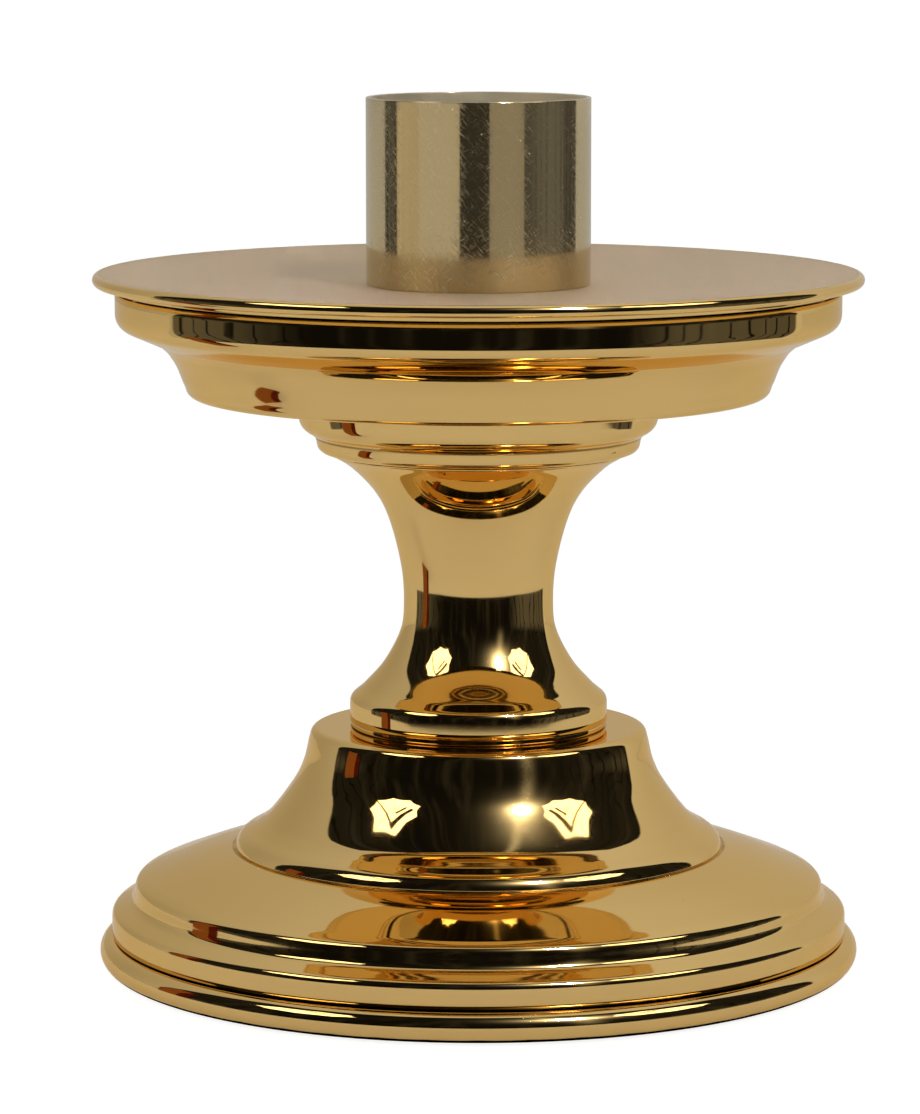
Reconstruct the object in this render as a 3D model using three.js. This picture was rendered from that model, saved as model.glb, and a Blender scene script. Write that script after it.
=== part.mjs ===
// Altar candlestick: spun brass shells stacked on one tie rod, with a screw-in candle socket.
// Millimetres, +Z up, origin at the middle of the underside.

import * as THREE from 'three';

// ---- Driving dimensions ----

const SHEET = 1.2; // wall of the spun shells
const ROD_RADIUS = 4.76; // 3/8 inch tie rod
const STUD_RADIUS = 3.175; // 1/4 inch socket stud
const NUT_ACROSS_FLATS = 14.3;
const RUNNING_GAP = 0.35; // radial room between a rod and the hole it passes through
const ROD_HOLE = ROD_RADIUS + RUNNING_GAP;
const STUD_HOLE = STUD_RADIUS + RUNNING_GAP;

// Heights of the joints between the stacked pieces, from the table up
const FELT_TOP = 1.0;
const COVER_TOP = 2.0;
const FLANGE_TOP = 3.2;
const DOME_FOOT = 5.9;
const LOWER_DOME_TOP = 21.6;
const UPPER_DOME_TOP = 43.7;
const STEM_BOTTOM = 45.0;
const STEM_TOP = 94.4;
const PAN_BOTTOM = 104.8;
const PLATE_TOP = 124.9; // the flat middle that the socket stands on
const SOCKET_TOP = 158.8;

// Outer radii
const FOOT_BEAD = 2.8; // radius of the rolled edge's section
const FOOT_RADIUS = 69.75;
const SKIRT_RADIUS = 67.5;
const UPPER_DOME_RADIUS = 44.8;
const STEM_FOOT_RADIUS = 23.6;
const COLLAR_RADIUS = 33.5;
const PAN_RADIUS = 65.95;
const PLATE_RADIUS = 70;
const SOCKET_RADIUS = 20.4;
const SOCKET_WALL = 0.9;

// Facets round each piece
const WIDE = 40;
const NARROW = 32;
const SMALL = 16;

// ---- Outlines, as points (radius, height) ----

const at = (radius, height) => new THREE.Vector2(radius, height);

function arc(radius, height, size, fromDegrees, toDegrees, steps) {
  const points = [];
  for (let i = 0; i <= steps; i += 1) {
    const angle = THREE.MathUtils.degToRad(fromDegrees + (toDegrees - fromDegrees) * i / steps);
    points.push(at(radius + size * Math.cos(angle), height + size * Math.sin(angle)));
  }
  return points;
}

function flowing(points, steps) {
  return new THREE.SplineCurve(points).getPoints(steps);
}

// The outline's inside face, one sheet thickness to the left of its direction of travel.
function insideFace(outline, wall) {
  const sides = outline.slice(1).map((point, i) => {
    const along = point.clone().sub(outline[i]).normalize();
    return at(-along.y, along.x);
  });
  return outline.map((point, i) => {
    const before = sides[Math.max(i - 1, 0)];
    const after = sides[Math.min(i, sides.length - 1)];
    const middle = before.clone().add(after).normalize();
    return point.clone().addScaledVector(middle, wall / middle.dot(after));
  });
}

// ---- Solids ----

// Turns a closed outline round the Z axis. An outline may also start and end on the axis.
function turned(outline, facets) {
  let area = 0;
  outline.forEach((point, i) => {
    area += point.cross(outline[(i + 1) % outline.length]);
  });
  const onAxis = outline[0].x === 0;
  const profile = onAxis ? outline.slice() : [...outline, outline[0].clone()];
  if (area < 0) profile.reverse();
  const geometry = new THREE.LatheGeometry(profile, facets);
  geometry.rotateX(Math.PI / 2);
  return geometry;
}

// A spun sheet shell: the outside outline and the inside face joined at both ends.
function spun(outside, wall, facets) {
  return turned([...outside, ...insideFace(outside, wall).reverse()], facets);
}

function flatRing(inner, outer, bottom, top, facets) {
  return turned([at(inner, bottom), at(outer, bottom), at(outer, top), at(inner, top)], facets);
}

function rodNut(bottom, top) {
  const corner = NUT_ACROSS_FLATS / Math.sqrt(3);
  const shape = new THREE.Shape(arc(0, 0, corner, 0, 300, 5));
  const lastStep = 360 - 360 / SMALL;
  shape.holes.push(new THREE.Path(arc(0, 0, ROD_HOLE, 0, lastStep, SMALL - 1)));
  const geometry = new THREE.ExtrudeGeometry(shape, { depth: top - bottom, bevelEnabled: false });
  geometry.translate(0, 0, bottom);
  return geometry;
}

// ---- The foot and base ----

const FELT_RADIUS = 61;
const COVER_RADIUS = 62.5;
const FLANGE_INNER = 55;

function feltPad() {
  return turned([at(0, 0), at(FELT_RADIUS, 0), at(FELT_RADIUS, FELT_TOP), at(0, FELT_TOP)], WIDE);
}

function bottomCover() {
  return turned([
    at(0, FELT_TOP), at(COVER_RADIUS, FELT_TOP), at(COVER_RADIUS, COVER_TOP), at(0, COVER_TOP),
  ], WIDE);
}

// Rolled edge with a flat flange inside it, which the cover and the weight are fixed to.
function footRing() {
  const middle = FOOT_RADIUS - FOOT_BEAD;
  const lowAngle = 180 + THREE.MathUtils.radToDeg(Math.asin((FOOT_BEAD - COVER_TOP) / FOOT_BEAD));
  const highAngle = 540 - THREE.MathUtils.radToDeg(Math.asin((FLANGE_TOP - FOOT_BEAD) / FOOT_BEAD));
  return turned([
    at(FLANGE_INNER, COVER_TOP),
    ...arc(middle, FOOT_BEAD, FOOT_BEAD, lowAngle, highAngle, 10),
    at(FLANGE_INNER, FLANGE_TOP),
  ], WIDE);
}

const WEIGHT_BORE = 26;
const WEIGHT_TOP = 14;
const WEIGHT_CORNER = 3;

// Cast ring that stands on the flange; its outer corner follows the slope of the dome.
function baseWeight() {
  const outer = SKIRT_RADIUS - 7;
  return turned([
    at(WEIGHT_BORE, FLANGE_TOP), at(outer, FLANGE_TOP), at(outer, WEIGHT_TOP - WEIGHT_CORNER),
    at(outer - WEIGHT_CORNER, WEIGHT_TOP), at(WEIGHT_BORE, WEIGHT_TOP),
  ], WIDE);
}

// Skirt, shoulder, cove and upright edge, then the low dome and a flat middle with the rod hole.
function lowerDome() {
  const shoulder = 1.3;
  const edge = 1.5;
  return spun([
    at(SKIRT_RADIUS, DOME_FOOT),
    ...arc(SKIRT_RADIUS - shoulder, 9.4, shoulder, 0, 80, 2),
    at(64.3, 11.7),
    at(63.4, 12.8),
    ...arc(63.2 - edge, 14.5, edge, 0, 60, 2),
    ...flowing([at(61, 16.5), at(52.5, 19.6), at(UPPER_DOME_RADIUS + 0.4, LOWER_DOME_TOP)], 3),
    at(ROD_HOLE, LOWER_DOME_TOP),
  ], SHEET, WIDE);
}

// Rolled lip, a long hollow flare and a rounded shoulder, then a flat top with the rod hole.
function upperDome() {
  const lip = 3.6;
  const shoulder = 1.4;
  const outside = [
    at(UPPER_DOME_RADIUS, LOWER_DOME_TOP),
    ...arc(UPPER_DOME_RADIUS - lip, 21.25, lip, 14, 62, 3),
    ...flowing([at(41.2, 25.3), at(38.4, 27.6), at(34, 33.5), at(32.1, 37.5), at(31.2, 41.3)], 6),
    ...arc(30.9 - shoulder, UPPER_DOME_TOP - shoulder, shoulder, 10, 90, 2),
    at(ROD_HOLE, UPPER_DOME_TOP),
  ];
  const inside = insideFace(outside, SHEET);
  inside[0].y = LOWER_DOME_TOP; // the lip is faced off level
  return turned([...outside, ...inside.reverse()], NARROW);
}

// ---- The tie rod and what clamps the base ----

const BASE_NUT_BOTTOM = 11;
const BASE_NUT_TOP = 17;
const LOCK_WASHER_TOP = 18.6;
const CLAMP_WASHER_TOP = LOWER_DOME_TOP - SHEET;

function clampWasher() {
  return flatRing(ROD_HOLE, 19, LOCK_WASHER_TOP, CLAMP_WASHER_TOP, SMALL);
}

// Split spring washer, drawn flat as it is when the nut is tight.
function lockWasher() {
  const outline = [...arc(0, 0, 8.2, 6, 354, SMALL), ...arc(0, 0, ROD_HOLE, 350, 10, SMALL)];
  const geometry = new THREE.ExtrudeGeometry(new THREE.Shape(outline), {
    depth: LOCK_WASHER_TOP - BASE_NUT_TOP, bevelEnabled: false,
  });
  geometry.translate(0, 0, BASE_NUT_TOP);
  return geometry;
}

const ROD_BOTTOM = 8;
const ROD_TOP = 117.2;
const ROD_CHAMFER = 0.8;

function tieRod() {
  return turned([
    at(0, ROD_BOTTOM), at(ROD_RADIUS - ROD_CHAMFER, ROD_BOTTOM),
    at(ROD_RADIUS, ROD_BOTTOM + ROD_CHAMFER), at(ROD_RADIUS, ROD_TOP - ROD_CHAMFER),
    at(ROD_RADIUS - ROD_CHAMFER, ROD_TOP), at(0, ROD_TOP),
  ], SMALL);
}

// ---- The stem and its collar ----

const CENTRING_DISC = 1.8; // thickness of the discs that hold the stem in line

// Small rounded ring between the base and the stem.
function seatRing() {
  const radius = STEM_FOOT_RADIUS - 0.3;
  const nip = 0.45;
  return turned([
    at(10, UPPER_DOME_TOP), at(radius - nip, UPPER_DOME_TOP),
    at(radius, UPPER_DOME_TOP + nip), at(radius, STEM_BOTTOM - nip),
    at(radius - nip, STEM_BOTTOM), at(10, STEM_BOTTOM),
  ], NARROW);
}

function stemFootDisc() {
  const radius = STEM_FOOT_RADIUS - SHEET - 0.4;
  return flatRing(ROD_HOLE, radius, STEM_BOTTOM, STEM_BOTTOM + CENTRING_DISC, SMALL);
}

// Upright skirt and rounded shoulder, a waisted shaft, and a trumpet mouth under the collar.
function stem() {
  const shoulder = 1.8;
  const outside = [
    at(STEM_FOOT_RADIUS, STEM_BOTTOM),
    ...arc(STEM_FOOT_RADIUS - shoulder, 48.4, shoulder, 0, 60, 2),
    ...flowing([
      at(21.2, 51.2), at(17.4, 55.5), at(14.4, 61.2), at(13.7, 66), at(14.1, 73),
      at(16.2, 81.6), at(18.9, 87.1), at(23.4, 91.8), at(27.6, STEM_TOP),
    ], 11),
  ];
  const inside = insideFace(outside, SHEET);
  const mouth = inside.pop();
  inside.push(at(mouth.x - 1.3, STEM_TOP)); // the rim is faced off level
  return turned([...outside, ...inside.reverse()], NARROW);
}

function stemHeadDisc() {
  return flatRing(ROD_HOLE, 22.2, STEM_TOP - CENTRING_DISC, STEM_TOP, SMALL);
}

// Two rounded steps growing from the stem to the pan, spun with a flat top.
function steppedCollar() {
  const outside = [
    ...arc(27.8, 96.1, 1.7, -85, 0, 2),
    at(29.75, 97.2),
    ...arc(29.6, 101, 3.2, -72, -10, 3),
    at(COLLAR_RADIUS, PAN_BOTTOM),
    at(ROD_HOLE, PAN_BOTTOM),
  ];
  return spun(outside, SHEET, NARROW);
}

// ---- The pan ----

// Flat bottom, ogee cup, a sloping step and the upright band that carries the plate.
function panBody() {
  const cupCorner = 1.8;
  const bandCorner = 3;
  const bandTop = PLATE_TOP - 1.1;
  return spun([
    at(PAN_RADIUS, bandTop),
    ...arc(PAN_RADIUS - bandCorner, 119.8, bandCorner, 0, -68, 3),
    at(58.2, 114.5),
    ...flowing([at(56.6, 113.1), at(55, 110.6), at(53.8, 107.6)], 3),
    ...arc(53.3 - cupCorner, PAN_BOTTOM + cupCorner, cupCorner, 0, -90, 2),
    at(ROD_HOLE, PAN_BOTTOM),
  ].reverse(), SHEET, WIDE);
}

const PAN_FLOOR = PAN_BOTTOM + SHEET;
const PAN_WASHER_TOP = PAN_FLOOR + 2;
const PAN_NUT_TOP = 113.8;
const PLATE_UNDERSIDE = PLATE_TOP - SHEET;

function panWasher() {
  return flatRing(ROD_HOLE, 14, PAN_FLOOR, PAN_WASHER_TOP, SMALL);
}

// Long nut on the rod's end; the socket's stud screws into the narrower hole in its top.
function couplingNut() {
  const flats = NUT_ACROSS_FLATS / 2;
  const stop = ROD_TOP + 0.4;
  return turned([
    at(ROD_HOLE, PAN_NUT_TOP), at(flats, PAN_NUT_TOP), at(flats, PLATE_UNDERSIDE),
    at(STUD_HOLE, PLATE_UNDERSIDE), at(STUD_HOLE, stop), at(ROD_HOLE, stop),
  ], SMALL);
}

// Shallow dished plate with a rolled edge that hooks over the band of the pan.
function dripPlate() {
  const lip = 1.1;
  const rim = PLATE_RADIUS - lip;
  return turned([
    at(STUD_HOLE, PLATE_UNDERSIDE),
    at(26, PLATE_UNDERSIDE),
    at(64.4, 125.6),
    at(64.6, 124.1),
    at(66.1, 124.1),
    at(66.3, 124.95),
    ...arc(rim, 126.1, lip, -80, 80, 4),
    at(67, 127.1),
    ...flowing([at(62, 126.55), at(44, 125.35), at(26, PLATE_TOP)], 3),
    at(STUD_HOLE, PLATE_TOP),
  ], WIDE);
}

// ---- The screw-in socket ----

const FIBRE_WASHER = 1.0;
const SOCKET_FLOOR_BOTTOM = PLATE_TOP + FIBRE_WASHER;
const SOCKET_FLOOR_TOP = SOCKET_FLOOR_BOTTOM + 1.2;
const STUD_BOTTOM = 118;
const STUD_CHAMFER = 0.6;

function fibreWasher() {
  return flatRing(STUD_HOLE, 9, PLATE_TOP, SOCKET_FLOOR_BOTTOM, SMALL);
}

// Straight drawn cup with a floor set a little above its foot.
function candleSocket() {
  const inner = SOCKET_RADIUS - SOCKET_WALL;
  const footInner = inner - 0.4;
  const soften = 0.25;
  return turned([
    at(footInner, PLATE_TOP), at(SOCKET_RADIUS - soften, PLATE_TOP),
    at(SOCKET_RADIUS, PLATE_TOP + soften), at(SOCKET_RADIUS, SOCKET_TOP - soften),
    at(SOCKET_RADIUS - soften, SOCKET_TOP), at(inner + soften, SOCKET_TOP),
    at(inner, SOCKET_TOP - soften), at(inner, SOCKET_FLOOR_TOP),
    at(STUD_HOLE, SOCKET_FLOOR_TOP), at(STUD_HOLE, SOCKET_FLOOR_BOTTOM),
    at(footInner, SOCKET_FLOOR_BOTTOM),
  ], WIDE);
}

// Riveted into the floor of the socket, its upper end flush inside the cup.
function socketStud() {
  return turned([
    at(0, STUD_BOTTOM), at(STUD_RADIUS - STUD_CHAMFER, STUD_BOTTOM),
    at(STUD_RADIUS, STUD_BOTTOM + STUD_CHAMFER), at(STUD_RADIUS, SOCKET_FLOOR_TOP),
    at(0, SOCKET_FLOOR_TOP),
  ], SMALL);
}

// ---- Finishes ----

const POLISHED = { color: 0xc9a45f, roughness: 0.08, metalness: 1 };
const SATIN = { color: 0xc2ab84, roughness: 0.4, metalness: 1 };
const RAW_BRASS = { color: 0xa79a70, roughness: 0.22, metalness: 1 };
const TURNED_BRASS = { color: 0xb8935a, roughness: 0.35, metalness: 1 };
const STEEL = { color: 0x9a9da0, roughness: 0.4, metalness: 1 };
const CAST_IRON = { color: 0x3b3c3e, roughness: 0.8, metalness: 0.6 };
const FELT = { color: 0x1f4a33, roughness: 1, metalness: 0 };
const FIBRE = { color: 0x7a2f22, roughness: 0.9, metalness: 0 };

// ---- Assembly, from the table up ----

const model = new THREE.Group();

function add(name, geometry, finish) {
  const mesh = new THREE.Mesh(geometry, new THREE.MeshStandardMaterial(finish));
  mesh.name = name;
  model.add(mesh);
}

add('felt_pad', feltPad(), FELT);
add('bottom_cover', bottomCover(), STEEL);
add('foot_ring', footRing(), POLISHED);
add('base_weight', baseWeight(), CAST_IRON);
add('lower_dome', lowerDome(), POLISHED);
add('upper_dome', upperDome(), POLISHED);
add('base_nut', rodNut(BASE_NUT_BOTTOM, BASE_NUT_TOP), STEEL);
add('lock_washer', lockWasher(), STEEL);
add('clamp_washer', clampWasher(), STEEL);
add('tie_rod', tieRod(), STEEL);
add('seat_ring', seatRing(), POLISHED);
add('stem_foot_disc', stemFootDisc(), TURNED_BRASS);
add('stem', stem(), POLISHED);
add('stem_head_disc', stemHeadDisc(), TURNED_BRASS);
add('stepped_collar', steppedCollar(), POLISHED);
add('pan_body', panBody(), POLISHED);
add('pan_washer', panWasher(), STEEL);
add('pan_nut', rodNut(PAN_WASHER_TOP, PAN_NUT_TOP), STEEL);
add('coupling_nut', couplingNut(), TURNED_BRASS);
add('drip_plate', dripPlate(), SATIN);
add('fibre_washer', fibreWasher(), FIBRE);
add('candle_socket', candleSocket(), RAW_BRASS);
add('socket_stud', socketStud(), TURNED_BRASS);

export default model;
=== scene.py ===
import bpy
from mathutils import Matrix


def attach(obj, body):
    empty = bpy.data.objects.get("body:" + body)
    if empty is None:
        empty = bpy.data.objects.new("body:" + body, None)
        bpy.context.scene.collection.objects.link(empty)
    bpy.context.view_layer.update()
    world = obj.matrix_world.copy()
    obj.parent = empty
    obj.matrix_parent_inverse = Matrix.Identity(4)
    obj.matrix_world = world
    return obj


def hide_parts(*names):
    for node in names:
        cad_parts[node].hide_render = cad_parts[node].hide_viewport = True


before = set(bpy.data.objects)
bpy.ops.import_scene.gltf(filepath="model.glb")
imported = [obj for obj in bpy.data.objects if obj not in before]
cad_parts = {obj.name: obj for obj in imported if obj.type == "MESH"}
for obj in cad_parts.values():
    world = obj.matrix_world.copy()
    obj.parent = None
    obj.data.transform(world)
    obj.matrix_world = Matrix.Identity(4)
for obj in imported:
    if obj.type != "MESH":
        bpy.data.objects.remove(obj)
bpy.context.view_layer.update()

# ---- The camera ----
# A long lens a little under a metre in front, looking slightly down onto the drip plate. The
# length of the lens keeps the rims of the foot and the plate in proportion.

import math

import bpy
import numpy as np
from mathutils import Vector

scene = bpy.context.scene
scene.view_settings.view_transform = "Standard"

CAMERA_DISTANCE = 0.906
CAMERA_HEIGHT = 0.2025
LOOKING_DOWN = math.radians(8.02)
LENS_LENGTH = 161.6
SIDE_SHIFT = -0.0166
NEAREST = 0.01

camera = bpy.data.objects.new("camera", bpy.data.cameras.new("camera"))
camera.data.lens = LENS_LENGTH
camera.data.shift_x = SIDE_SHIFT
camera.data.clip_start = NEAREST
camera.location = (0, -CAMERA_DISTANCE, CAMERA_HEIGHT)
camera.rotation_euler = (math.pi / 2 - LOOKING_DOWN, 0, 0)
scene.collection.objects.link(camera)
scene.camera = camera

# ---- The light tent ----
# White cloth all round a pale table. Its front stands open on an unlit room, which is what
# makes the dark shapes in the brass, and one bare lamp burns high up in that room. Directions
# are in degrees: the azimuth to the right of straight ahead, the elevation above level.


class Wire:
    """A node's output. Arithmetic on it adds the Math nodes that work it out."""

    def __init__(self, tree, socket=None):
        self.tree = tree
        self.socket = socket

    def node(self, kind, settings, plugs, output=0):
        """Adds one node: its settings first, then values or wires into its sockets."""
        made = self.tree.nodes.new("ShaderNode" + kind)
        for name, value in settings.items():
            setattr(made, name, value)
        for name, value in plugs.items():
            if isinstance(value, Wire):
                self.tree.links.new(value.socket, made.inputs[name])
            else:
                made.inputs[name].default_value = value
        return Wire(self.tree, made.outputs[output]) if made.outputs else None

    def math(self, operation, *others):
        plugs = dict(enumerate((self, *others)))
        return self.node("Math", {"operation": operation}, plugs)

    def axes(self):
        return [self.node("SeparateXYZ", {}, {0: self}, axis) for axis in "XYZ"]

    def step(self, start, end):
        """0 below start, 1 above end, and a smooth change between them."""
        plugs = {"Value": self, "From Min": start, "From Max": end}
        return self.node("MapRange", {"interpolation_type": "SMOOTHSTEP"}, plugs)

    def mix(self, first, second):
        """The first colour where this is 0 and the second where it is 1."""
        return self.node("Mix", {"data_type": "RGBA"}, {0: self, 6: first, 7: second}, 2)

    def noise(self, scale, detail=2.0, roughness=0.5):
        plugs = {"Vector": self, "Scale": scale, "Detail": detail, "Roughness": roughness}
        return self.node("TexNoise", {}, plugs)

    def __add__(self, other):
        return self.math("ADD", other)

    def __sub__(self, other):
        return self.math("SUBTRACT", other)

    def __rsub__(self, other):
        return self.math("MULTIPLY_ADD", -1.0, other)

    def __mul__(self, other):
        return self.math("MULTIPLY", other)

    def __truediv__(self, other):
        return self.math("DIVIDE", other)

    def __pow__(self, other):
        return self.math("POWER", other)

    __radd__ = __add__
    __rmul__ = __mul__


def off_axis(x, y):
    """How far a place is from the upright axis."""
    return (x * x + y * y) ** 0.5


def turned(x, y):
    """The angle of a place round the upright axis from straight ahead, in radians."""
    return x.math("ARCTAN2", y * -1.0)


def direction(azimuth_degrees, elevation_degrees):
    """The way from the object towards that azimuth and elevation."""
    a, e = math.radians(azimuth_degrees), math.radians(elevation_degrees)
    return Vector((math.sin(a) * math.cos(e), -math.cos(a) * math.cos(e), math.sin(e)))


CLOTH_GLOW = 0.64
CLOTH_DIMMER_BEHIND, CLOTH_DIMMER_LEFT = 0.18, 0.24
ROOM_LEFT, ROOM_RIGHT, ROOM_TOP = -111.0, 118.0, 78.0
ARCH_FALL = 0.0018
SIDE_BLUR, TOP_BLUR = 0.6, 0.8
CURTAIN_SWAY = 5.0
ROOM_GLOW, PANEL_GLOW = 0.005, 0.02
PANEL_WIDTH, PANEL_HEIGHT = 9.0, 60.0
FOLD_GLOW, LOW_FOLD_GLOW, RIGHT_FOLD_SHARE = 0.01, 0.10, 0.8
FOLD_SWAY, FOLD_PITCH = 12.0, 0.38
LAMP_AZIMUTH, LAMP_ELEVATION = 33.5, 47.5
BULB_GLOW, BULB_INSIDE, BULB_OUTSIDE = 300.0, 0.045, 0.075
HALO_GLOW, HALO_FALL = 12.0, -16.0
HAZE_GLOW, HAZE_FALL = 0.05, -5.0
FLARE_GLOW, FLARE_FALL = 0.5, -0.05
WARM_WHITE = (1, 0.985, 0.96, 1)

world = bpy.data.worlds.new("light_tent")
scene.world = world
world.use_nodes = True
world.node_tree.nodes.clear()
tent = Wire(world.node_tree)
look = tent.node("TexCoord", {}, {}, "Generated")
look_x, look_y, look_z = look.axes()
azimuth = turned(look_x, look_y) * math.degrees(1)
elevation = look_z.math("ARCSINE") * math.degrees(1)

# The opening: two curtains that sway a little, under an arch.
arch = ROOM_TOP - (azimuth * azimuth) * ARCH_FALL
curtain = azimuth + (look.noise(3.0, 3.0) * CURTAIN_SWAY - CURTAIN_SWAY / 2)
opening = (
    curtain.step(ROOM_LEFT - SIDE_BLUR, ROOM_LEFT + SIDE_BLUR)
    * (1.0 - curtain.step(ROOM_RIGHT - SIDE_BLUR, ROOM_RIGHT + SIDE_BLUR))
    * (arch - elevation).step(-TOP_BLUR, TOP_BLUR)
)

# The room: faint wall panels, and folds of cloth that catch some light at its edges and low down.
across, upward = azimuth / PANEL_WIDTH, elevation / PANEL_HEIGHT
panels = tent.node("CombineXYZ", {}, {0: across, 1: upward}).noise(1.0, 2.0).step(0.45, 0.8)
edge_light = (
    1.0 - (azimuth - ROOM_LEFT).step(2.0, 60.0) + azimuth.step(45.0, 70.0) * RIGHT_FOLD_SHARE
)
wave = look.noise(2.5) * FOLD_SWAY + azimuth * FOLD_PITCH
folds = wave.math("SINE").math("ABSOLUTE").step(0.1, 0.35)
low = 1.0 - elevation.step(-4.0, 10.0)
room = (
    panels * PANEL_GLOW + ROOM_GLOW
    + edge_light * folds * (FOLD_GLOW + LOW_FOLD_GLOW * low)
)

# The cloth: a little uneven, and dimmer low down behind and to the left.
behind = look_y.step(0.1, 0.9) * (1.0 - elevation.step(20.0, 60.0))
left_side = 1.0 - look_x.step(-0.9, 0.3)
cloth = (
    CLOTH_GLOW * (0.94 + 0.12 * look.noise(1.3, 1.0))
    * (1.0 - CLOTH_DIMMER_BEHIND * behind - CLOTH_DIMMER_LEFT * left_side)
)
around = opening * room + (1.0 - opening) * cloth

# The lamp: a bulb, the glow round it and an upright streak. They are only for mirrors, or they
# would light the table too.
lamp = direction(LAMP_AZIMUTH, LAMP_ELEVATION)
off_lamp = look.node("VectorMath", {"operation": "DISTANCE"}, {0: look, 1: lamp}, "Value")
bulb = (1.0 - off_lamp.step(BULB_INSIDE, BULB_OUTSIDE)) * BULB_GLOW
halo = (
    (off_lamp * HALO_FALL).math("EXPONENT") * HALO_GLOW
    + (off_lamp * HAZE_FALL).math("EXPONENT") * HAZE_GLOW
)
off_side = azimuth - LAMP_AZIMUTH
flare = ((off_side * off_side) * FLARE_FALL).math("EXPONENT")
flare = flare * (0.2 + look.noise(40.0)) * FLARE_GLOW * elevation.step(-4.0, 40.0)
mirrored = tent.node("LightPath", {}, {}, "Is Glossy Ray")
brightness = around + (bulb + (halo + flare) * opening) * mirrored

straight = tent.node("LightPath", {}, {}, "Is Camera Ray")
light = tent.node("Background", {}, {"Color": WARM_WHITE, "Strength": brightness})
backdrop = tent.node("Background", {}, {"Color": (1, 1, 1, 1)})
both = tent.node("MixShader", {}, {0: straight, 1: light, 2: backdrop})
tent.node("OutputWorld", {}, {"Surface": both})


# ---- The table and the floor ----
# The white table as the brass mirrors it: its front is round, and the cloth comes down to it
# behind. The floor is the same surface seen directly, plain and white.


def empty_material(name):
    """A material without nodes, and the wire that its nodes start from."""
    material = bpy.data.materials.new(name)
    material.use_nodes = True
    material.node_tree.nodes.clear()
    return material, Wire(material.node_tree)


def close_finish(start, plugs):
    """Ends a material in one shader with these values and wires."""
    surface = start.node("BsdfPrincipled", {}, plugs)
    start.node("OutputMaterial", {}, {"Surface": surface})


def stage_mesh(name, points, faces, colour, glow):
    """A part of the studio: a matt mesh that may give off light."""
    mesh = bpy.data.meshes.new(name)
    mesh.from_pydata([tuple(point) for point in points], [], [tuple(face) for face in faces])
    body = bpy.data.objects.new(name, mesh)
    scene.collection.objects.link(body)
    material, start = empty_material(name)
    close_finish(start, {
        "Base Color": (*colour, 1),
        "Roughness": 0.9,
        "Specular IOR Level": 0.0,
        "Emission Color": (*colour, 1),
        "Emission Strength": glow,
    })
    mesh.materials.append(material)
    return body


TABLE_RADIUS, TABLE_BACK = 0.29, 3.0
TABLE_SPREAD, SPREAD_FROM = 0.0006, 60
TABLE_LEVEL, GAP_LEVEL, FLOOR_LEVEL = -0.0004, -0.0003, -0.0002
TABLE_COLOUR, TABLE_GLOW = (0.80, 0.79, 0.77), 0.34
FLOOR_REACH, FLOOR_COLOUR, FLOOR_GLOW = 40.0, (0.5, 0.5, 0.5), 1.8
GAP_INNER, GAP_OUTER, GAP_TURNS = 0.060, 0.0688, 48

table_edge = []
for degrees in range(-180, 180, 3):
    turn = math.radians(degrees)
    reach = TABLE_RADIUS + TABLE_SPREAD * max(0, abs(degrees) - SPREAD_FROM)
    if not ROOM_LEFT < degrees < ROOM_RIGHT:
        reach = TABLE_BACK
    table_edge.append((reach * math.sin(turn), -reach * math.cos(turn), TABLE_LEVEL))
table = stage_mesh("table", table_edge, [range(len(table_edge))], TABLE_COLOUR, TABLE_GLOW)
table.visible_camera = False

# No light gets under the foot's rolled edge.
gap_ring = []
for reach in (GAP_INNER, GAP_OUTER):
    for i in range(GAP_TURNS):
        turn = 2 * math.pi * i / GAP_TURNS
        gap_ring.append((reach * math.cos(turn), reach * math.sin(turn), GAP_LEVEL))
gap_faces = [
    (i, (i + 1) % GAP_TURNS, GAP_TURNS + (i + 1) % GAP_TURNS, GAP_TURNS + i)
    for i in range(GAP_TURNS)
]
gap = stage_mesh("gap_shadow", gap_ring, gap_faces, (0.01, 0.01, 0.01), 0.0)
gap.visible_camera = False

floor_corners = [
    (x * FLOOR_REACH, y * FLOOR_REACH, FLOOR_LEVEL)
    for x, y in ((-1, -1), (1, -1), (1, 1), (-1, 1))
]
floor = stage_mesh("floor", floor_corners, [(0, 1, 2, 3)], FLOOR_COLOUR, FLOOR_GLOW)
floor.visible_glossy = False
floor.visible_diffuse = False
floor.visible_shadow = False


# ---- Two flash umbrellas ----
# White eight-ribbed umbrellas, open towards the object, each with its flash head in the bowl
# and its stand below. They show only in the brass.

UMBRELLA_ELEVATION = 42.0
UMBRELLA_AWAY = 1.5
UMBRELLA_RADIUS = 0.40
UMBRELLA_BOWL = 0.09
UMBRELLA_SQUASH = 0.72
AIMED_AT = 0.06
RIBS = 8
RIB_WIDTH, RIB_SHARE, RIB_CLEAR = 0.011, 0.95, 0.004
RINGS, GORE_STEPS, GORE_SLACK = 4, 6, 0.14


def placed(azimuth_degrees, local):
    """Points given across, up and towards the object, put at that azimuth from it."""
    a = math.radians(azimuth_degrees)
    out = direction(azimuth_degrees, UMBRELLA_ELEVATION)
    across = Vector((math.cos(a), math.sin(a), 0))
    up = across.cross(out) * -1
    centre = out * UMBRELLA_AWAY + Vector((0, 0, AIMED_AT))
    return [centre + across * x + up * y * UMBRELLA_SQUASH - out * z for x, y, z in local]


def bars(strokes):
    """Flat bars facing the object, each from its start to its end with its width."""
    points, faces = [], []
    for start, end, width in strokes:
        along = (Vector(end) - Vector(start)).normalized()
        side = Vector((-along.y, along.x, 0)) * width / 2
        first = len(points)
        for spot in (start, end):
            points.extend([Vector(spot) + side, Vector(spot) - side])
        faces.append((first, first + 1, first + 3, first + 2))
    return points, faces


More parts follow.
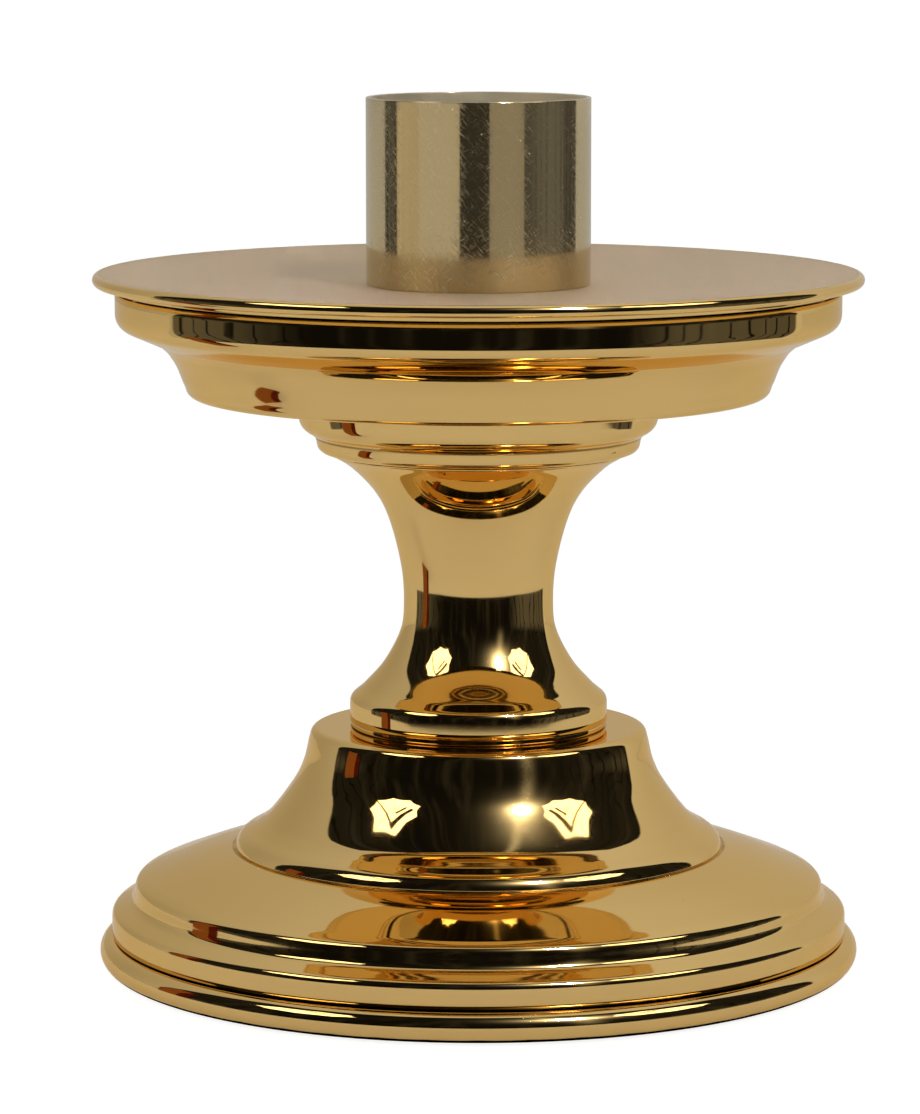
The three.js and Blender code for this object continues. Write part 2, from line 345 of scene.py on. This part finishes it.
def bowl(roll):
    """The cloth, pulled in between the ribs."""
    points, faces = [(0, 0, -UMBRELLA_BOWL)], []
    count = RIBS * GORE_STEPS
    for ring in range(1, RINGS + 1):
        share = ring / RINGS
        for i in range(count):
            turn = 2 * math.pi * i / count + roll
            slack = GORE_SLACK * math.sin(math.pi * (i % GORE_STEPS) / GORE_STEPS)
            reach = UMBRELLA_RADIUS * share * (1 - slack * share)
            depth = -UMBRELLA_BOWL * (1 - share * share)
            points.append((reach * math.cos(turn), reach * math.sin(turn), depth))
    for ring in range(RINGS):
        for i in range(count):
            j = (i + 1) % count
            outer = 1 + ring * count
            if ring == 0:
                faces.append((0, outer + i, outer + j))
            else:
                inner = outer - count
                faces.append((inner + i, outer + i, outer + j, inner + j))
    return points, faces


def rib_strokes(roll):
    """The ribs, each from the middle of the bowl to its rim."""
    reach = RIB_SHARE * UMBRELLA_RADIUS
    strokes = []
    for i in range(RIBS):
        turn = 2 * math.pi * i / RIBS + roll
        tip = (reach * math.cos(turn), reach * math.sin(turn), RIB_CLEAR)
        strokes.append(((0, 0, RIB_CLEAR - UMBRELLA_BOWL), tip, RIB_WIDTH))
    return strokes


def flash_strokes(lean):
    """The stand, the flash head and its grip, leaning to that side."""
    return [
        ((lean * 0.25, -0.34, 0.02), (lean * 0.10, 0.26, 0.04), 0.026),
        ((lean * 0.11, 0.27, 0.04), (lean * -0.24, 0.11, 0.04), 0.066),
        ((lean * 0.02, 0.12, 0.045), (lean * -0.18, 0.02, 0.045), 0.042),
    ]


for name, azimuth_degrees, roll in (
        ("left_umbrella", -63.0, 0.15), ("right_umbrella", 67.0, -0.1)):
    lean = 1 if azimuth_degrees > 0 else -1
    for part, (points, faces), colour, glow in (
            ("", bowl(roll), (1.0, 0.95, 0.84), 2.6),
            ("_ribs", bars(rib_strokes(roll)), (1.0, 0.86, 0.6), 0.9),
            ("_flash", bars(flash_strokes(lean)), (0.02, 0.02, 0.02), 0.0)):
        item = stage_mesh(name + part, placed(azimuth_degrees, points), faces, colour, glow)
        item.visible_camera = False


# ---- A wooden block beside the object ----
# It stands on the table to the left, out of view, and shows only as a brown mark in the brass.
# Its front end is lower and painted darker as shade, and both parts glow as painted light.

BLOCK_AWAY = 0.19
BLOCK_HALF_WIDTH = 0.012
BLOCK_BEVEL, BEVEL_DROP = 0.004, 0.006


def wooden_box(name, front, back, height, colour, glow):
    """A box on the table with its top edges bevelled."""
    points = []
    for z in (0.0, height - BEVEL_DROP, height):
        inset = BLOCK_BEVEL if z == height else 0.0
        near = -BLOCK_AWAY - BLOCK_HALF_WIDTH + inset
        far = -BLOCK_AWAY + BLOCK_HALF_WIDTH - inset
        points += [(near, front, z), (far, front, z), (far, back, z), (near, back, z)]
    faces = [(0, 3, 2, 1), (8, 9, 10, 11)]
    for level in (0, 4):
        for i in range(4):
            j = (i + 1) % 4
            faces.append((level + i, level + j, level + 4 + j, level + 4 + i))
    box = stage_mesh(name, points, faces, colour, glow)
    box.visible_camera = False


# Both boxes glow a little as painted light; the front one is darker as painted shade.
wooden_box("wooden_block", -0.020, 0.004, 0.074, (0.44, 0.16, 0.05), 0.06)
wooden_box("wooden_block_painted_shade", -0.030, -0.020, 0.070, (0.16, 0.02, 0.008), 0.03)


# ---- The felt pad ----
# Green felt glued under the base so that it doesn't scratch the altar. It is one flat disc,
# cut out with a punch.


def new_finish(name):
    """An empty material, the wire that its nodes start from and the place on the piece."""
    material, start = empty_material(name)
    return material, start, start.node("TexCoord", {}, {}, "Object")


def bumped(height, distance, before=None):
    """A bump of that height in metres, on top of the bump before it."""
    plugs = {"Height": height, "Distance": distance, "Strength": 1.0}
    if before is not None:
        plugs["Normal"] = before
    return height.node("Bump", {}, plugs)


def dress(node, material):
    """Gives a CAD node its finish."""
    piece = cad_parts[node]
    for place in piece.material_slots:
        place.material = material


DARK_FELT, LIGHT_FELT = (0.006, 0.035, 0.017, 1), (0.022, 0.11, 0.055, 1)

felt, start, place = new_finish("pressed_felt")
tufts = place.noise(420.0, 5.0, 0.7)
patches = place.noise(38.0, 3.0)
fibres = tufts.step(0.3, 0.75) * 0.7 + patches * 0.3
close_finish(start, {
    "Base Color": fibres.mix(DARK_FELT, LIGHT_FELT),
    "Roughness": 0.96,
    "Normal": bumped(tufts, 0.0006),
    "Sheen Weight": 0.5,
    "Sheen Roughness": 0.5,
    "Specular IOR Level": 0.1,
})
dress("felt_pad", felt)


# ---- Zinc-plated steel: bottom cover, nuts, washers and tie rod ----
# Bought nuts, washers and rod and a punched cover, all plated a cold grey. The nuts pull the
# base, the stem and the pan together on the rod.

DULL_ZINC, BRIGHT_ZINC = (0.50, 0.51, 0.52, 1), (0.66, 0.67, 0.69, 1)
SPANGLE_SHARE = 0.25

zinc, start, place = new_finish("zinc_plated_steel")
spangle = place.node("TexVoronoi", {"feature": "F1"}, {"Vector": place, "Scale": 320.0}, "Color")
grain = place.noise(900.0, 3.0)
stain = place.noise(70.0, 4.0)
worn = (stain * 0.6 + grain * 0.4).step(0.35, 0.7)
shade = start.node(
    "Mix", {"data_type": "RGBA", "blend_type": "SOFT_LIGHT"},
    {0: SPANGLE_SHARE, 6: worn.mix(DULL_ZINC, BRIGHT_ZINC), 7: spangle}, 2)
close_finish(start, {
    "Base Color": shade,
    "Metallic": 1.0,
    "Roughness": 0.28 + 0.2 * stain,
    "Normal": bumped(grain, 0.00001),
})
for node in ("bottom_cover", "base_nut", "lock_washer", "clamp_washer", "tie_rod",
             "pan_washer", "pan_nut"):
    dress(node, zinc)


# ---- The foot ring ----
# Brass sheet rolled into a round bead, with a flat flange turned inwards under the weight.
# Like every shell above it, it is spun, buffed to a mirror and lacquered. Outlines are given
# as (radius, height) in millimetres.

MM = 0.001
SHEET = 1.2
TURNS = 160
BRIGHT_GOLD, DEEP_GOLD = (0.87, 0.60, 0.225, 1), (0.84, 0.585, 0.24, 1)
# Dark brown for flecks of dust, and for the painted shade in the creases.
DUST_AND_SHADE_COLOUR = (0.21, 0.09, 0.02, 1)
POLISH_LINES, POLISH_RIPPLE = 0.00000012, 0.000005


def arc(radius, height, size, from_degrees, to_degrees):
    """A rounded corner, with a point about every 6 degrees."""
    count = max(3, int(abs(to_degrees - from_degrees) / 6))
    angles = np.radians(np.linspace(from_degrees, to_degrees, count + 1))
    return [(radius + size * math.cos(a), height + size * math.sin(a)) for a in angles]


def flow(points):
    """A smooth line through the points."""
    knots = [np.array(point, float) for point in points]
    knots = [2 * knots[0] - knots[1], *knots, 2 * knots[-1] - knots[-2]]
    line = []
    for a, b, c, d in zip(knots, knots[1:], knots[2:], knots[3:]):
        for t in np.arange(0, 1, 0.1):
            line.append(0.5 * (2 * b + (c - a) * t + (2 * a - 5 * b + 4 * c - d) * t ** 2
                               + (3 * b - 3 * c + d - a) * t ** 3))
    return [tuple(point) for point in line] + [tuple(points[-1])]


def travel(points):
    """How far along the line each of its points is."""
    steps = np.hypot(*np.diff(points, axis=0).T)
    return np.concatenate([[0], np.cumsum(steps)])


def eased(points, spread=0.3):
    """The line with its corners rounded as sheet bends, spread millimetres each way."""
    points = np.array(points, float)
    points = points[np.concatenate([[True], travel(points)[1:] - travel(points)[:-1] > 1e-6])]
    pitch = spread / 4
    along = travel(points)
    even = np.arange(0, along[-1], pitch)
    even = np.append(even, along[-1])
    fine = np.stack([np.interp(even, along, points[:, axis]) for axis in (0, 1)], 1)
    reach = 12  # three spreads on each side
    weights = np.exp(-0.5 * (np.arange(-reach, reach + 1) * pitch / spread) ** 2)
    weights /= weights.sum()
    before = 2 * fine[0] - fine[reach:0:-1]
    after = 2 * fine[-1] - fine[-2:-reach - 2:-1]
    padded = np.concatenate([before, fine, after])
    return np.stack([np.convolve(padded[:, axis], weights, "valid") for axis in (0, 1)], 1)


def thinned(points, bend_degrees=3.0, longest=2.0):
    """Keeps more points where the line bends, and changes their spacing gradually."""
    growth = 0.3
    along = travel(points)
    heading = np.unwrap(np.arctan2(*np.diff(points, axis=0).T[::-1]))
    bend = np.abs(np.diff(heading)) / np.maximum(np.diff(along)[1:], 1e-9)
    bend = np.concatenate([[bend[0]], bend, [bend[-1]]])
    spacing = np.minimum(longest, math.radians(bend_degrees) / np.maximum(bend, 1e-6))
    steps = np.diff(along)
    for i in range(1, len(spacing)):
        spacing[i] = min(spacing[i], spacing[i - 1] + growth * steps[i - 1])
    for i in range(len(spacing) - 2, -1, -1):
        spacing[i] = min(spacing[i], spacing[i + 1] + growth * steps[i])
    count = np.concatenate([[0], np.cumsum(steps / ((spacing[1:] + spacing[:-1]) / 2))])
    wanted = np.linspace(0, count[-1], max(3, int(math.ceil(count[-1])) + 1))
    return np.stack([np.interp(wanted, count, points[:, axis]) for axis in (0, 1)], 1)


def inner_face(points):
    """The line moved sideways by the sheet's thickness, to the left of its direction."""
    heading = np.gradient(points, axis=0)
    heading /= np.hypot(*heading.T)[:, None]
    return points + SHEET * np.stack([-heading[:, 1], heading[:, 0]], 1)


def lathe(name, outline, material, slot, body, *nodes):
    """Spins a closed outline into one smooth piece, which stands for the CAD nodes."""
    outline = np.array(outline, float)
    radii, heights = outline.T
    if np.sum(radii * np.roll(heights, -1) - np.roll(radii, -1) * heights) < 0:
        outline = outline[::-1]
    count = len(outline)
    points = [
        (r * MM * math.cos(turn), r * MM * math.sin(turn), z * MM)
        for turn in np.linspace(0, 2 * math.pi, TURNS, endpoint=False)
        for r, z in outline
    ]
    faces = []
    for i in range(TURNS):
        this, following = i * count, (i + 1) % TURNS * count
        for j in range(count):
            k = (j + 1) % count
            faces.append((this + j, following + j, following + k, this + k))
    mesh = bpy.data.meshes.new(name)
    mesh.from_pydata(points, [], faces)
    mesh.shade_smooth()
    mesh.materials.append(material)
    piece = bpy.data.objects.new(name, mesh)
    scene.collection.objects.link(piece)
    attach(piece, body)
    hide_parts(*nodes)
    return piece


def shell(outside, spread=0.3):
    """A closed outline of spun sheet: the outside, and a coarser inside one sheet away."""
    fine = eased(outside, spread)
    inside = thinned(eased(inner_face(fine), spread), bend_degrees=9.0, longest=4.0)
    outer = thinned(fine)
    nip = 0.12  # how near the corners of a rim its extra points are
    ends = []
    for a, b in ((outer[-1], inside[-1]), (inside[0], outer[0])):
        across = (b - a) / np.hypot(*(b - a))
        ends.append([a + across * nip, b - across * nip])
    return np.concatenate([outer, ends[0], inside[::-1], ends[1]])


def polished_brass(name, creases=()):
    """Mirror brass with dust flecks. Painted shade darkens the creases, (radius, height) in mm.
    """
    material, start, place = new_finish(name)
    x, y, z = place.axes()
    radius = off_axis(x, y)
    wound = start.node("CombineXYZ", {}, {0: radius, 1: z, 2: turned(x, y) * 0.0012})
    lines = wound.noise(1700.0, 3.0)
    ripple = place.noise(48.0, 1.0)
    smear = place.noise(34.0, 5.0, 0.65)
    dust = start.node("TexVoronoi", {}, {"Vector": place, "Scale": 120.0}, "Distance")
    fleck = 1.0 - dust.step(0.018, 0.034)
    dust_and_crease_shade = fleck * 0.35
    # Each crease gets a ring of painted shade: darker and rougher where the parts meet.
    for crease_radius, crease_height in creases:
        off = start.node("VectorMath", {"operation": "DISTANCE"}, {
            0: start.node("CombineXYZ", {}, {0: radius, 1: z}),
            1: (crease_radius * MM, crease_height * MM, 0)}, "Value")
        dust_and_crease_shade = dust_and_crease_shade.math("MAXIMUM", (1.0 - off.step(0.00015, 0.0005)) * smear.step(0.3, 0.6))
    close_finish(start, {
        "Base Color": (dust_and_crease_shade * 0.8).mix(ripple.mix(BRIGHT_GOLD, DEEP_GOLD), DUST_AND_SHADE_COLOUR),
        "Metallic": 1.0,
        "Roughness": 0.035 + 0.045 * smear.step(0.4, 0.75) + 0.25 * dust_and_crease_shade,
        "Normal": bumped(lines, POLISH_LINES, bumped(ripple, POLISH_RIPPLE)),
        "Specular Tint": (1.0, 0.86, 0.62, 1),
        "Coat Weight": 0.04,
        "Coat Roughness": 0.03,
    })
    return material


bead = arc(66.95, 2.8, 2.8, -163, 172)
foot_outline = [(55.2, 2.0), *bead, (55.2, 3.2), (55, 3.0), (55, 2.2)]
lathe("rolled_foot_ring", thinned(np.array([*foot_outline, foot_outline[0]]))[:-1],
      polished_brass("foot_ring_brass", [(66.9, 5.7)]),
      "polished_brass", "root", "foot_ring")


# ---- The base weight ----
# A cast iron ring, rough from the sand and partly rusted, that stands on the foot ring's
# flange inside the dome.

GREY_IRON, RUSTED_IRON = (0.035, 0.036, 0.04, 1), (0.10, 0.085, 0.075, 1)

cast, start, place = new_finish("cast_iron")
sand = place.noise(650.0, 6.0, 0.7)
rust = place.noise(60.0, 4.0)
close_finish(start, {
    "Base Color": rust.mix(GREY_IRON, RUSTED_IRON),
    "Metallic": 0.6,
    "Roughness": 0.62 + 0.25 * sand,
    "Normal": bumped(sand, 0.0004),
})
dress("base_weight", cast)


# ---- The lower dome ----
# Spun shell with an upright skirt, a shoulder, a cove and a small upright edge under a low
# dome. The rod clamps its flat middle.

ROD_HOLE = 5.11
LOWER_DOME_TOP = 21.6

lower_outside = [
    (67.5, 5.9), (67.5, 9.4), *arc(66.2, 9.4, 1.3, 6, 75), (65.4, 11.2), (64.3, 11.7),
    (63.65, 12.2), (63.35, 12.9), *arc(61.7, 14.5, 1.5, 0, 60),
    *flow([(61, 16.5), (52.5, 19.6), (45.2, LOWER_DOME_TOP)]), (ROD_HOLE, LOWER_DOME_TOP),
]
lathe("spun_lower_dome", shell(lower_outside),
      polished_brass("lower_dome_brass", [(45.1, 21.7)]),
      "polished_brass", "root", "lower_dome")


# ---- The upper dome ----
# Spun shell that stands on the lower one: a rolled lip, a long hollow flare and a rounded
# shoulder round a flat top. Its lip is faced off level.

UPPER_DOME_TOP = 43.7

upper_outside = [
    (44.8, LOWER_DOME_TOP), *arc(41.2, 21.25, 3.6, 8, 62),
    *flow([(41.2, 25.3), (38.4, 27.6), (34, 33.5), (32.1, 37.5), (31.2, 41.3)]),
    *arc(29.5, 42.3, 1.4, 10, 90), (ROD_HOLE, UPPER_DOME_TOP),
]
upper_outline = shell(upper_outside)
upper_outline[:, 1] = np.maximum(upper_outline[:, 1], LOWER_DOME_TOP)
lathe("spun_upper_dome", upper_outline,
      polished_brass("upper_dome_brass", [(23.2, 43.8)]),
      "polished_brass", "root", "upper_dome")


# ---- The seat ring ----
# Thin ring turned in brass and polished, between the base and the stem. The tie rod clamps it
# there, and only its rounded edge is seen.

STEM_FOOT = 45.0

ring_outline = [
    (10, UPPER_DOME_TOP), (22.85, UPPER_DOME_TOP), *arc(22.85, 44.15, 0.45, -70, 0),
    *arc(22.85, 44.55, 0.45, 0, 70), (22.85, STEM_FOOT), (10, STEM_FOOT),
]
lathe("turned_seat_ring", ring_outline,
      polished_brass("seat_ring_brass", [(22.9, 43.8)]),
      "polished_brass", "root", "seat_ring")


# ---- Turned brass: centring discs, coupling nut and socket stud ----
# Turned from brass bar and not polished, as hardly any of it shows: the tool's rings are left
# in it. The discs keep the stem in line, and the nut takes the socket's stud.

CLEAN_BRASS, TARNISHED_BRASS = (0.66, 0.43, 0.17, 1), (0.47, 0.30, 0.13, 1)

lathe_work, start, place = new_finish("turned_brass")
x, y, z = place.axes()
wound = start.node("CombineXYZ", {}, {0: off_axis(x, y), 1: z})
tool_rings = wound.noise(2600.0, 2.0)
tarnish = place.noise(55.0, 4.0)
close_finish(start, {
    "Base Color": tarnish.mix(CLEAN_BRASS, TARNISHED_BRASS),
    "Metallic": 1.0,
    "Roughness": 0.26 + 0.16 * tool_rings,
    "Normal": bumped(tool_rings, 0.000012),
})
for node in ("stem_foot_disc", "stem_head_disc", "coupling_nut", "socket_stud"):
    dress(node, lathe_work)


# ---- The stem ----
# Waisted tube spun in one piece: an upright skirt and shoulder at its foot, and a trumpet
# mouth at its head. Its rims are faced off level, and the rod clamps it between them.

STEM_HEAD = 94.4

stem_outside = [
    (23.6, STEM_FOOT), (23.6, 48.4), *arc(21.8, 48.4, 1.8, 6, 60),
    *flow([(21.2, 51.2), (17.4, 55.5), (14.4, 61.2), (13.7, 66), (14.1, 73), (16.2, 81.6),
           (18.9, 87.1), (23.4, 91.8), (27.6, STEM_HEAD)]),
]
stem_outline = shell(stem_outside)
stem_outline[:, 1] = np.minimum(stem_outline[:, 1], STEM_HEAD)
lathe("spun_stem", stem_outline, polished_brass("stem_brass"),
      "polished_brass", "root", "stem")


# ---- The stepped collar ----
# Two rounded steps that grow from the stem to the pan, spun in one piece. The tie rod goes
# through its flat top.

COLLAR_TOP = 104.8

collar_outside = [
    *arc(27.8, 96.1, 1.7, -85, 0), (29.75, 97.2), *arc(29.6, 101, 3.2, -72, -10),
    (33.5, COLLAR_TOP), (ROD_HOLE, COLLAR_TOP),
]
lathe("spun_stepped_collar", shell(collar_outside, spread=0.22),
      polished_brass("collar_brass", [(29.8, 97.4)]),
      "polished_brass", "root", "stepped_collar")


# ---- The pan ----
# Flat-bottomed cup with a sloping step and an upright band, spun from one disc. A nut and a
# washer inside it hold it to the collar.

pan_outside = [
    (ROD_HOLE, COLLAR_TOP), *arc(51.5, 106.6, 1.8, -90, 0),
    *flow([(53.8, 107.6), (55, 110.6), (56.6, 113.1)]), (58.2, 114.5),
    *arc(62.95, 119.8, 3.0, -68, 0), (65.95, 123.8),
]
lathe("spun_pan", shell(pan_outside, spread=0.35),
      polished_brass("pan_brass", [(33.4, COLLAR_TOP)]),
      "polished_brass", "root", "pan_body")


# ---- The drip plate ----
# Shallow dish with a satin face. Its rolled edge, which hooks over the band of the pan, is
# polished like the rest.

STUD_HOLE = 3.6
PLATE_UNDERSIDE, PLATE_TOP = 123.7, 124.9
SATIN_ENDS, POLISH_STARTS = 0.0686, 0.0691
LIGHT_SATIN, DARK_SATIN = (0.84, 0.68, 0.49, 1), (0.80, 0.645, 0.46, 1)
BRUSH_MARK, PLATE_GOLD = (0.70, 0.54, 0.37, 1), (0.86, 0.60, 0.235, 1)

plate_outline = [
    (STUD_HOLE, PLATE_UNDERSIDE), (26, PLATE_UNDERSIDE), (64.4, 125.6), (64.6, 124.1),
    (66.1, 124.1), (66.3, 124.95), *arc(68.9, 126.1, 1.1, -85, 80), (67, 127.1),
    *flow([(62, 126.55), (44, 125.35), (26, PLATE_TOP)]), (STUD_HOLE, PLATE_TOP),
]
satin, start, place = new_finish("satin_and_polished_brass")
x, y, z = place.axes()
radius = off_axis(x, y)
upward = start.node("TexCoord", {}, {}, "Normal").axes()[2]
wound = start.node("CombineXYZ", {}, {0: radius, 1: z, 2: turned(x, y) * 0.004})
brushing = wound.noise(2300.0, 3.0)
grit = place.noise(1500.0, 2.0)
cloud = place.noise(30.0, 4.0, 0.6)
face = (brushing * 0.25).mix(cloud.mix(LIGHT_SATIN, DARK_SATIN), BRUSH_MARK)
matt = (1.0 - radius.step(SATIN_ENDS, POLISH_STARTS)) * upward.step(0.0, 0.3)
close_finish(start, {
    "Base Color": matt.mix(PLATE_GOLD, face),
    "Metallic": 1.0 - 0.65 * matt,
    "Roughness": 0.04 + matt * (0.5 + 0.08 * cloud),
    "Normal": bumped((grit + brushing) * matt, 0.000004),
    "Specular Tint": (1.0, 0.9, 0.72, 1),
    "Coat Weight": 0.04 * (1.0 - matt),
    "Coat Roughness": 0.03,
})
plate_line = eased([*plate_outline, plate_outline[0]], 0.2)
lathe("satin_drip_plate", thinned(plate_line)[:-1], satin, "satin_brass", "root", "drip_plate")


# ---- The fibre washer ----
# Red vulcanised fibre, punched from sheet, which keeps the socket from marking the plate. It
# stays on the stud and rises with it.

DARK_FIBRE, LIGHT_FIBRE = (0.13, 0.02, 0.012, 1), (0.26, 0.055, 0.03, 1)

fibre, start, place = new_finish("vulcanised_fibre")
strands = place.noise(800.0, 4.0, 0.6)
close_finish(start, {
    "Base Color": strands.mix(DARK_FIBRE, LIGHT_FIBRE),
    "Roughness": 0.75 + 0.15 * strands,
    "Normal": bumped(strands, 0.00004),
})
dress("fibre_washer", fibre)


# ---- The candle socket ----
# Straight drawn cup of bare brass, screwed down on its stud. Candles going in and out have
# covered it in fine scratches.

SOCKET_RADIUS, BORE_RADIUS = 20.4, 19.5
BORE_LIGHT_ENDS, OUTSIDE_STARTS = 0.0197, 0.0201
FLOOR_UNDERSIDE, FLOOR_TOP = 125.9, 127.1
DULL_BRASS, PALE_BRASS = (0.62, 0.50, 0.28, 1), (0.70, 0.57, 0.33, 1)
# Pale brass for the scratches, and for the painted light on the bore's wall.
SCRATCH_AND_BORE_LIGHT_BRASS = (0.82, 0.76, 0.62, 1)
SCRATCHES_ACROSS, SCRATCHES_ALONG = 5200.0, 450.0

socket_outline = [
    (19.1, PLATE_TOP), (20.2, PLATE_TOP), *arc(20.2, 125.1, 0.2, -80, 0),
    *arc(20.2, 158.6, 0.2, 0, 90), *arc(19.7, 158.6, 0.2, 90, 180),
    (BORE_RADIUS, 127.5), *arc(19.1, 127.5, 0.4, 0, -90),
    (STUD_HOLE, FLOOR_TOP), (STUD_HOLE, FLOOR_UNDERSIDE), (18.9, FLOOR_UNDERSIDE), (19.1, 125.7),
]


def supported(outline):
    """Adds a point just beside each end of a long straight, so that its shading stays flat."""
    gap = 0.25
    kept = []
    for i, point in enumerate(outline):
        following = np.array(outline[(i + 1) % len(outline)], float)
        point = np.array(point, float)
        length = np.hypot(*(following - point))
        kept.append(point)
        if length > 4 * gap:
            kept.append(point + (following - point) * gap / length)
            kept.append(following - (following - point) * gap / length)
    return np.array(kept)


bare, start, place = new_finish("bare_scratched_brass")
x, y, z = place.axes()
turn = turned(x, y) * (SOCKET_RADIUS * MM)
scratches = None
for lean, width, seed in ((0.8, 1.0, 0.0), (-0.95, 1.0, 3.1), (0.65, 1.3, 7.7)):
    across = turn * math.cos(lean) + z * math.sin(lean)
    along = z * math.cos(lean) - turn * math.sin(lean)
    stretched = start.node("CombineXYZ", {}, {
        0: across * (SCRATCHES_ACROSS / width), 1: along * SCRATCHES_ALONG, 2: seed})
    field = stretched.noise(1.0, 2.0, 0.6)
    marks = field.step(0.58, 0.68)
    scratches = marks if scratches is None else scratches.math("MAXIMUM", marks)
haze = place.noise(75.0, 4.0, 0.6)
# The bore's wall is painted paler, and made duller and rougher: painted light inside the cup.
painted_bore_light = 1.0 - off_axis(x, y).step(BORE_LIGHT_ENDS, OUTSIDE_STARTS)
scratches_and_bore_light = (scratches * 0.3).math("MAXIMUM", painted_bore_light)
close_finish(start, {
    "Base Color": scratches_and_bore_light.mix(haze.mix(DULL_BRASS, PALE_BRASS), SCRATCH_AND_BORE_LIGHT_BRASS),
    "Metallic": 1.0 - 0.5 * painted_bore_light,
    "Roughness": 0.05 + 0.06 * haze.step(0.4, 0.75) + 0.2 * scratches + 0.35 * painted_bore_light,
    "Normal": bumped(scratches, 0.0000022),
})
socket = lathe("drawn_candle_socket", supported(socket_outline), bare, "raw_brass", "socket",
               "candle_socket")

# Five strip lights that only the socket sees, each from its left edge to its right one.
STRIP_AWAY, STRIP_LEVEL, STRIP_TALL = 1.2, 0.1, 0.9

socket_only = bpy.data.collections.new("lit_by_strips")
socket_only.objects.link(socket)
for name, left_edge, right_edge, power, colour in (
        ("strip_left", -91.0, -63.0, 0.85, (1, 0.86, 0.64)),
        ("strip_middle", -63.0, -19.0, 1.5, (1, 0.94, 0.82)),
        ("strip_fill", -19.0, 11.0, 0.07, (1, 0.97, 0.9)),
        ("strip_right", 11.0, 47.0, 0.75, (1, 0.93, 0.8)),
        ("strip_side", 47.0, 96.0, 0.22, (1, 0.98, 0.9))):
    middle = math.radians((left_edge + right_edge) / 2)
    half = math.radians((right_edge - left_edge) / 2)
    strip = bpy.data.lights.new(name, "AREA")
    strip.shape = "RECTANGLE"
    strip.size = 2 * STRIP_AWAY * math.tan(half)
    strip.size_y = STRIP_TALL
    strip.energy = power
    strip.color = colour
    hung = bpy.data.objects.new(name, strip)
    hung.location = (STRIP_AWAY * math.sin(middle), -STRIP_AWAY * math.cos(middle), STRIP_LEVEL)
    hung.rotation_euler = (math.pi / 2, 0, middle)
    scene.collection.objects.link(hung)
    hung.light_linking.receiver_collection = socket_only
